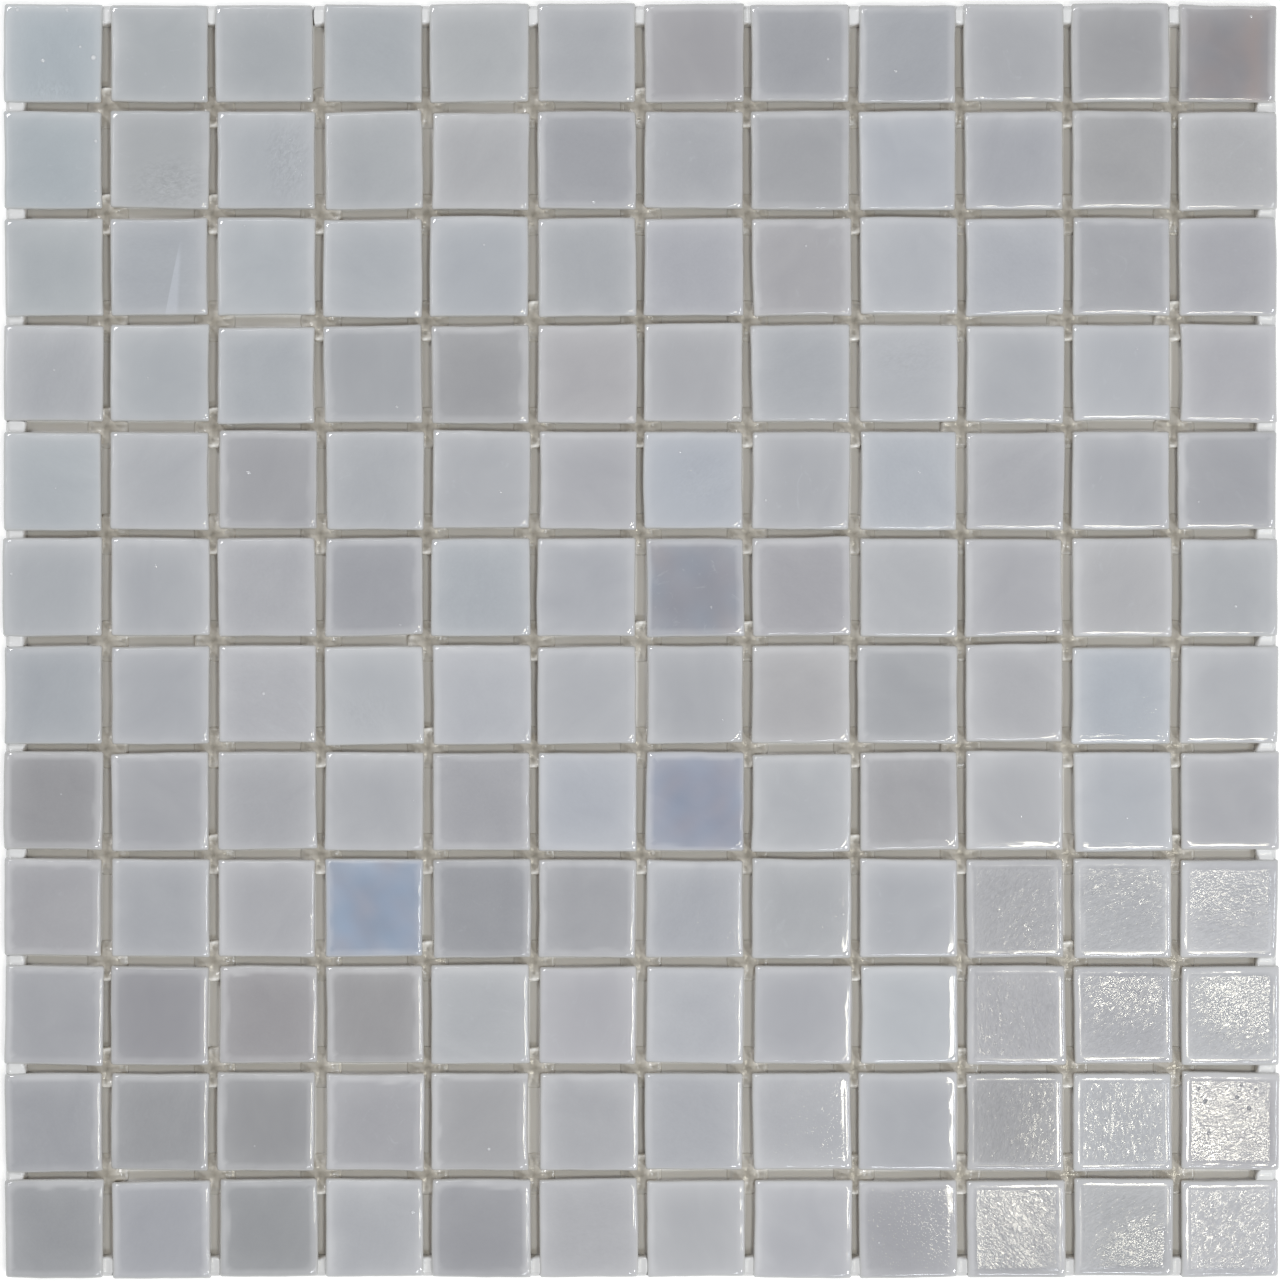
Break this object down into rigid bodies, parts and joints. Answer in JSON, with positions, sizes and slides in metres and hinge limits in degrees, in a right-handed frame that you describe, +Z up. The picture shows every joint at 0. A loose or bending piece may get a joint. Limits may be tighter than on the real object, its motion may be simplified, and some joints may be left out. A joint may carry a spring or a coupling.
{
  "type": "mosaic tile sheet",
  "caption": "Square sheet of small pressed opal-glass mosaic tiles in an even grid, joined from behind by soft bonding dots under the joints.",
  "frame": {"origin": "middle of the sheet's underside, where the underside of the bonding dots lies", "axes": "+Z up out of the tiles' faces, +Y to the sheet's far edge, which is the picture's top edge, +X to the picture's right"},
  "size_m": [0.3248, 0.3248, 0.0046],
  "materials": {
    "opal_glass": "gloss",
    "bonding_dot": "satin"
  },
  "bodies": {
    "root": {"tile_row_01": "opal_glass", "tile_row_02": "opal_glass", "tile_row_03": "opal_glass", "tile_row_04": "opal_glass", "tile_row_05": "opal_glass", "tile_row_06": "opal_glass", "tile_row_07": "opal_glass", "tile_row_08": "opal_glass", "tile_row_09": "opal_glass", "tile_row_10": "opal_glass", "tile_row_11": "opal_glass", "tile_row_12": "opal_glass", "dot_row_01": "bonding_dot", "dot_row_02": "bonding_dot", "dot_row_03": "bonding_dot", "dot_row_04": "bonding_dot", "dot_row_05": "bonding_dot", "dot_row_06": "bonding_dot", "dot_row_07": "bonding_dot", "dot_row_08": "bonding_dot", "dot_row_09": "bonding_dot", "dot_row_10": "bonding_dot", "dot_row_11": "bonding_dot", "edge_dots_far": "bonding_dot", "edge_dots_near": "bonding_dot", "edge_dots_left": "bonding_dot", "edge_dots_right": "bonding_dot"}
  },
  "joints": []
}
